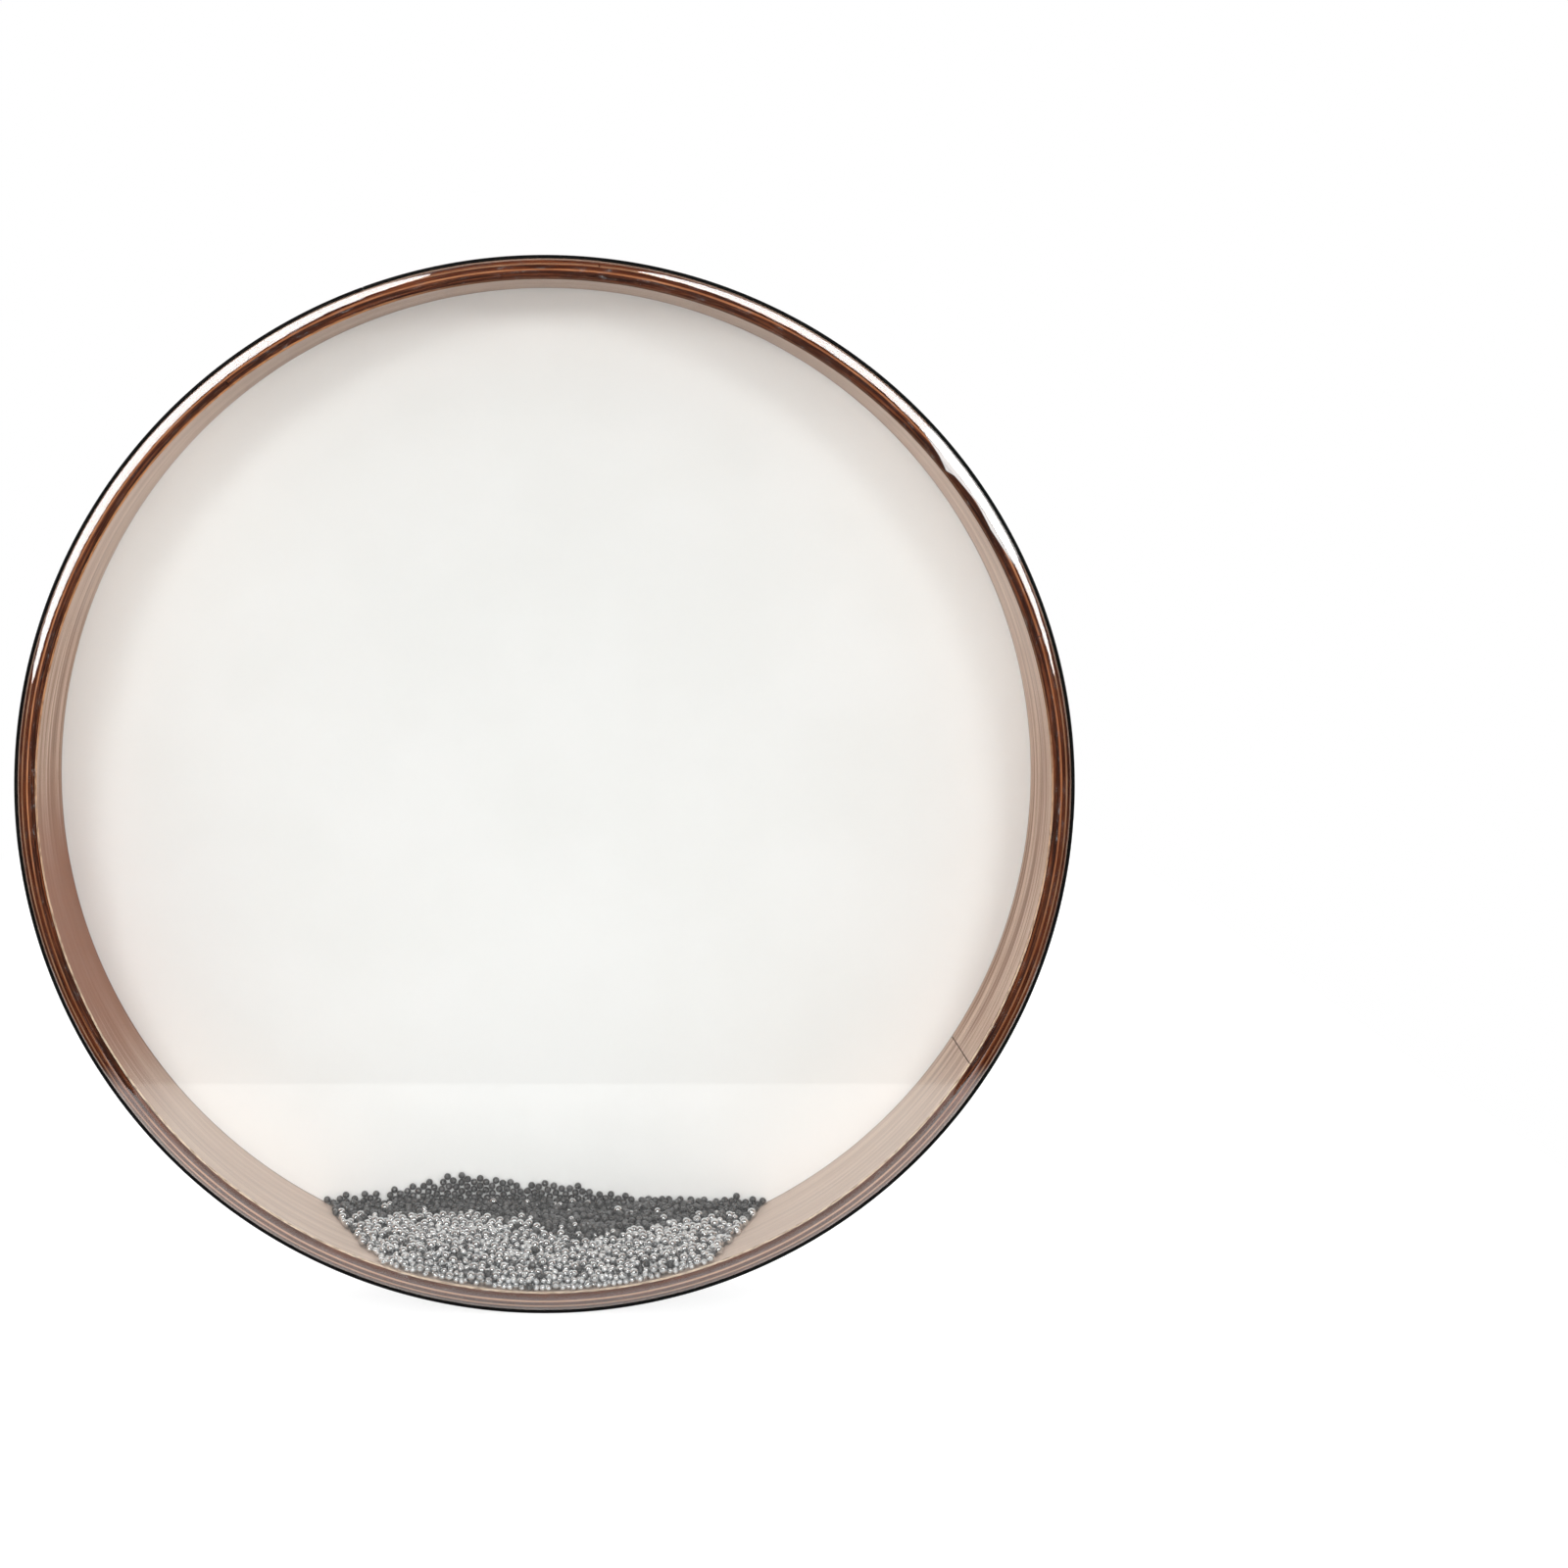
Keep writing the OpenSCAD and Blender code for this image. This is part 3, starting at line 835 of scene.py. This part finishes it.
def packed_heap(rng):
    """Random places under the heap's surface, pulled in and pushed apart until they lie as beads do."""
    tries = np.stack(
        [
            rng.uniform(-HEAP_HALF_W, HEAP_HALF_W, TRIES),
            rng.uniform(FRONT_WALL, REAR_WALL, TRIES),
            rng.uniform(-HOOP_IN_R, -HOOP_IN_R + TRY_H, TRIES),
        ],
        axis=1,
    )
    out = np.hypot(tries[:, 0], tries[:, 2])
    surface_z = heap_z(tries[:, 0], tries[:, 1])
    inside = (out < REACH_R - TRY_INSET) & (tries[:, 2] < surface_z - TRY_INSET)
    whole = (out < REACH_R) & (tries[:, 2] < surface_z)
    volume = whole.mean() * 2.0 * HEAP_HALF_W * (REAR_WALL - FRONT_WALL) * TRY_H
    points = tries[inside]
    kinds = bead_kinds(points, rng)
    bead_volume = 4.0 / 3.0 * math.pi * BEAD_R[kinds] ** 3
    count = int(np.searchsorted(np.cumsum(bead_volume), FILL * volume))
    points, kinds = points[:count], kinds[:count]
    radii = BEAD_R[kinds]
    for turn in range(ROUNDS):
        if turn % FRESH_PAIRS == 0:
            pairs = close_pairs(points, 2.0 * BEAD_R.max() + 0.5)
        up = surface_slope(points)
        pull = PULL * max(0.0, 1.0 - turn / (ROUNDS - CALM_ROUNDS))
        points -= pull * up
        for _ in range(2):
            first, second = pairs[:, 0], pairs[:, 1]
            gap = points[first] - points[second]
            apart = np.maximum(np.linalg.norm(gap, axis=1), 1e-6)
            over = np.maximum(radii[first] + radii[second] - apart, 0.0)
            push = gap * (PUSH * over / apart)[:, None]
            for axis in range(3):
                points[:, axis] += np.bincount(first, push[:, axis], len(points))
                points[:, axis] -= np.bincount(second, push[:, axis], len(points))
            proud = np.maximum(points[:, 2] - (heap_z(points[:, 0], points[:, 1]) - radii), 0.0)
            points -= up * (PROUD_PUSH * proud * up[:, 2])[:, None]
            keep_inside(points, radii)
    return points, kinds


def curtain_top(x, rng):
    """Height of the dark beads' crown against the rear head."""
    broad = CURTAIN_RISE * np.exp(-(((x - CROWN_X) / CURTAIN_W) ** 2))
    peak = CURTAIN_PEAK * np.exp(-(((x - PEAK_X) / PEAK_W) ** 2))
    peak += SECOND_PEAK * np.exp(-(((x - SECOND_X) / SECOND_W) ** 2))
    knots = np.arange(x[0], x[-1] + RAGGED_STEP, RAGGED_STEP)
    ragged = np.interp(x, knots, rng.normal(0.0, RAGGED, len(knots)))
    return -HOOP_IN_R + SIDE_REAR_H + broad + peak + ragged


def rear_curtain(points, kinds, rng):
    """One layer of dark beads against the rear head, each dropped to the lowest place still open."""
    radius = BEAD_R[DARK]
    depth = REAR_WALL - radius - 0.04
    across = np.arange(-HEAP_HALF_W, HEAP_HALF_W, 0.1)
    rest = -np.sqrt((REACH_R - radius) ** 2 - across**2)
    limit = curtain_top(across, rng) - radius

    def cover(x, y, z, reach):
        flat = (across - x) ** 2 + (depth - y) ** 2
        near = flat < reach**2
        rest[near] = np.maximum(rest[near], z + np.sqrt(reach**2 - flat[near]))

    for (x, y, z), kind in zip(points, kinds):
        if y > depth - 2.0 * BEAD_R.max():
            cover(x, y, z, 0.98 * (radius + BEAD_R[kind]))
    made = []
    while True:
        lowest = (rest[1:-1] <= rest[:-2]) & (rest[1:-1] <= rest[2:]) & (rest[1:-1] < limit[1:-1])
        free = np.nonzero(lowest)[0] + 1
        if not len(free):
            break
        pick = rng.choice(free)
        made.append((across[pick], depth, rest[pick]))
        cover(*made[-1], 2.0 * radius + 0.02)
    return np.concatenate([points, made]), np.concatenate([kinds, np.full(len(made), DARK)])


def unit_ball(segments=12, rings=8):
    """Points and triangles of a closed ball."""
    points = [(0.0, 0.0, 1.0)]
    for ring in range(1, rings):
        tilt = math.pi * ring / rings
        for k in range(segments):
            turn = 2.0 * math.pi * k / segments
            points.append((math.sin(tilt) * math.cos(turn), math.sin(tilt) * math.sin(turn), math.cos(tilt)))
    points.append((0.0, 0.0, -1.0))
    faces = [(0, 1 + k, 1 + (k + 1) % segments) for k in range(segments)]
    for ring in range(rings - 2):
        a = 1 + ring * segments
        for k in range(segments):
            n = (k + 1) % segments
            faces.append((a + k, a + segments + k, a + segments + n))
            faces.append((a + k, a + segments + n, a + n))
    last = len(points) - 1
    a = last - segments
    faces += [(last, a + (k + 1) % segments, a + k) for k in range(segments)]
    return np.array(points), np.array(faces)


BALL_POINTS, BALL_FACES = unit_ball()


def bead_piece(name, centres, radius, material, nodes, rng):
    """Many separate balls in one mesh, each turned its own way."""
    count, corners = len(centres), len(BALL_POINTS)
    turns = rng.normal(size=(count, 4))
    turns /= np.linalg.norm(turns, axis=1)[:, None]
    w, x, y, z = turns.T
    spin = np.stack(
        [
            np.stack([1 - 2 * (y * y + z * z), 2 * (x * y - z * w), 2 * (x * z + y * w)], axis=1),
            np.stack([2 * (x * y + z * w), 1 - 2 * (x * x + z * z), 2 * (y * z - x * w)], axis=1),
            np.stack([2 * (x * z - y * w), 2 * (y * z + x * w), 1 - 2 * (x * x + y * y)], axis=1),
        ],
        axis=1,
    )
    points = (centres[:, None, :] + radius * np.einsum("nij,kj->nki", spin, BALL_POINTS)) * MM
    faces = (BALL_FACES[None, :, :] + np.arange(count)[:, None, None] * corners).reshape(-1, 3)
    mesh = bpy.data.meshes.new(name)
    mesh.vertices.add(count * corners)
    mesh.vertices.foreach_set("co", points.reshape(-1))
    mesh.loops.add(len(faces) * 3)
    mesh.loops.foreach_set("vertex_index", faces.reshape(-1))
    mesh.polygons.add(len(faces))
    mesh.polygons.foreach_set("loop_start", np.arange(0, len(faces) * 3, 3))
    mesh.update(calc_edges=True)
    mesh.shade_smooth()
    mesh.materials.append(material)
    piece = bpy.data.objects.new(name, mesh)
    SCENE.collection.objects.link(piece)
    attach(piece, "bead_charge")
    if nodes:
        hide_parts(*nodes)


bead_rng = np.random.default_rng(20)
bead_points, bead_kind = packed_heap(bead_rng)
bead_points, bead_kind = rear_curtain(bead_points, bead_kind, bead_rng)
print("beads", len(bead_points), [int((bead_kind == k).sum()) for k in (DARK, LARGE, SMALL)])

# For each kind of bead: its tones, each a level and a roughness
TONES = [
    (
        "dark_beads", DARK, "dark_steel", ["dark_beads", "heap_core"],
        [(0.11, 0.27), (0.14, 0.23), (0.18, 0.30)],
    ),
    (
        "large_beads", LARGE, "bright_steel", ["silver_beads_large"],
        [(0.63, 0.26), (0.74, 0.22)],
    ),
    (
        "small_beads", SMALL, "bright_steel", ["silver_beads_small"],
        [(0.84, 0.26), (0.92, 0.22), (0.97, 0.30)],
    ),
]
for name, kind, slot, nodes, tones in TONES:
    chosen = np.nonzero(bead_kind == kind)[0]
    parts = bead_rng.integers(0, len(tones), len(chosen))
    for tone, (level, rough) in enumerate(tones):
        look = steel(f"{name}_{tone}", level, rough)
        bead_piece(
            f"{name}_{tone}", bead_points[chosen[parts == tone]], BEAD_R[kind], look,
            nodes if tone == 0 else [], bead_rng,
        )


# Floor, light and camera

# The floor's edges in metres; the drum stands on it
FLOOR_Z = -0.203
FLOOR_FRONT = -0.51
FLOOR_BACK = 3.0
FLOOR_SIDE = 0.47
# Its own glow to the camera and in mirrors, and its body's tone in light and as seen
FLOOR_SEEN = 0.88
FLOOR_MIRRORED = 0.48
FLOOR_BODY = 0.88
FLOOR_BODY_SEEN = 0.3
# In mirrors it ends nearer the middle, and wider behind the drum than in front
MIRROR_END = (0.26, 0.30)
WIDER_BEHIND = (0.03, 0.15, 0.2)


def white_floor():
    """A pale floor that shows as white and keeps a faint shadow."""
    material, tree = new_material("floor")
    path = add(tree, "LightPath").outputs
    direct = math_node(tree, "MAXIMUM", path["Is Camera Ray"], path["Is Transmission Ray"])
    seen = math_node(tree, "MAXIMUM", direct, path["Is Glossy Ray"])
    place = axes(tree)
    wider = zone(tree, place["Y"], *WIDER_BEHIND)
    beyond = math_node(tree, "SUBTRACT", math_node(tree, "ABSOLUTE", place["X"]), wider)
    hidden = times(tree, mask(tree, beyond, *MIRROR_END), path["Is Glossy Ray"])
    mirrored = math_node(tree, "SUBTRACT", path["Is Glossy Ray"], hidden)
    lift = times(tree, mirrored, FLOOR_MIRRORED)
    lift = math_node(tree, "MAXIMUM", lift, times(tree, direct, FLOOR_SEEN))
    level = math_node(tree, "MULTIPLY_ADD", seen, FLOOR_BODY_SEEN - FLOOR_BODY, FLOOR_BODY)
    level = times(tree, level, math_node(tree, "SUBTRACT", 1.0, hidden))
    tone = add(tree, "CombineXYZ", {0: level, 1: level, 2: level}).outputs[0]
    body = add(tree, "BsdfDiffuse", {"Color": tone})
    shine = add(tree, "Emission", {"Color": (1.0, 1.0, 1.0, 1.0), "Strength": lift})
    total = add(tree, "AddShader", {0: body.outputs[0], 1: shine.outputs[0]})
    add(tree, "OutputMaterial", {"Surface": total.outputs[0]})
    return material


floor_mesh = bpy.data.meshes.new("floor")
floor_mesh.from_pydata(
    [
        (-FLOOR_SIDE, FLOOR_FRONT, FLOOR_Z), (FLOOR_SIDE, FLOOR_FRONT, FLOOR_Z),
        (FLOOR_SIDE, FLOOR_BACK, FLOOR_Z), (-FLOOR_SIDE, FLOOR_BACK, FLOOR_Z),
    ],
    [], [(0, 1, 2, 3)],
)
floor_mesh.materials.append(white_floor())
floor = bpy.data.objects.new("floor", floor_mesh)
SCENE.collection.objects.link(floor)

# The world's level on the object, and in mirrors in front of the drum; behind it mirrors see white
WORLD_FILL = 0.30
WORLD_DARK = 0.012
BEHIND = (0.62, 0.92)


def studio_world():
    """White to the camera; mirrors see it behind the drum and a dark room in front of it."""
    world = bpy.data.worlds.new("studio")
    world.use_nodes = True
    tree = world.node_tree
    tree.nodes.clear()
    path = add(tree, "LightPath").outputs
    direction = add(tree, "TexCoord").outputs["Generated"]
    behind = mask(tree, axes(tree, direction)["Y"], *BEHIND)
    mirrored = math_node(tree, "MAXIMUM", path["Is Glossy Ray"], path["Is Transmission Ray"])
    mirror_level = math_node(tree, "MULTIPLY_ADD", behind, 1.0 - WORLD_DARK, WORLD_DARK - WORLD_FILL)
    level = math_node(tree, "MULTIPLY_ADD", mirrored, mirror_level, WORLD_FILL)
    level = math_node(tree, "MAXIMUM", level, path["Is Camera Ray"])
    backdrop = add(tree, "Background", {"Color": (1.0, 1.0, 1.0, 1.0), "Strength": level})
    add(tree, "OutputWorld", {"Surface": backdrop.outputs[0]})
    return world


SCENE.world = studio_world()


def soft_light(name, place, target, along, width, height, radiance, shape="RECTANGLE"):
    """An area lamp whose face shows the given radiance, with its width along the given direction."""
    lamp = bpy.data.lights.new(name, "AREA")
    lamp.shape = shape
    lamp.size = width
    lamp.size_y = height
    area = width * height * (math.pi / 4.0 if shape == "ELLIPSE" else 1.0)
    lamp.energy = radiance * math.pi * area
    holder = bpy.data.objects.new(name, lamp)
    SCENE.collection.objects.link(holder)
    back = (Vector(place) - Vector(target)).normalized()
    side = (Vector(along) - back * back.dot(Vector(along))).normalized()
    turn = Matrix((side, back.cross(side), back)).transposed()
    holder.matrix_world = Matrix.Translation(place) @ turn.to_4x4()
    holder.visible_camera = False
    return holder


# Two lamps above and beside the camera, a wide soft box over it and two fills that mirrors don't show
soft_light("front_left", (-0.58, -1.55, 0.48), (0.0, 0.0, -0.05), (1.0, 0.0, 0.0), 0.32, 0.28, 20.0)
soft_light("front_right", (0.58, -1.55, 0.48), (0.0, 0.0, -0.05), (1.0, 0.0, 0.0), 0.32, 0.28, 17.0)
soft_light("front_top", (0.0, -2.0, 1.35), (0.0, 0.0, 0.0), (1.0, 0.0, 0.0), 2.4, 1.0, 1.0)
fill = soft_light("front_fill", (0.0, -1.9, 0.15), (0.0, 0.0, 0.0), (1.0, 0.0, 0.0), 1.2, 1.0, 3.2)
fill.visible_glossy = False
rear_fill = soft_light("rear_fill", (0.5, 2.1, 0.9), (0.0, 0.0, 0.0), (1.0, 0.0, 0.0), 1.6, 1.2, 2.2)
rear_fill.visible_glossy = False

# Two soft boxes beside the drum, whose mirror images are the bright arcs on the film's edge
LEFT_TURN = math.radians(135.0)
RIGHT_TURN = math.radians(45.5)
soft_light(
    "card_left", (-1.660, 0.200, 1.435), (-0.143, -0.028, 0.140),
    (-math.sin(LEFT_TURN), 0.0, math.cos(LEFT_TURN)), 3.05, 1.25, 4.2, "ELLIPSE",
)
soft_light(
    "card_right", (1.585, 0.100, 1.520), (0.138, -0.028, 0.145),
    (-math.sin(RIGHT_TURN), 0.0, math.cos(RIGHT_TURN)), 3.15, 0.92, 4.2, "ELLIPSE",
)

# The photograph's outline is a circle within a pixel, so the image plane is almost parallel to the face
PHOTO_PX = 1600.0
LENS_PX = 3366.2
AXIS_PX = (597.95, 568.75)
PITCH = math.radians(1.5)
SENSOR_MM = 36.0
CAMERA_PLACE = (0.0159, -1.2842, 0.1206)
camera_data = bpy.data.cameras.new("camera")
camera_data.sensor_width = SENSOR_MM
camera_data.lens = LENS_PX * SENSOR_MM / PHOTO_PX
camera_data.shift_x = 0.5 - AXIS_PX[0] / PHOTO_PX
camera_data.shift_y = AXIS_PX[1] / PHOTO_PX - 0.5
camera_data.clip_start = 0.05
camera = bpy.data.objects.new("camera", camera_data)
SCENE.collection.objects.link(camera)
camera.location = CAMERA_PLACE
camera.rotation_euler = (math.radians(90.0) - PITCH, 0.0, 0.0)
SCENE.camera = camera
SCENE.view_settings.view_transform = "Standard"

bpy.context.view_layer.update()
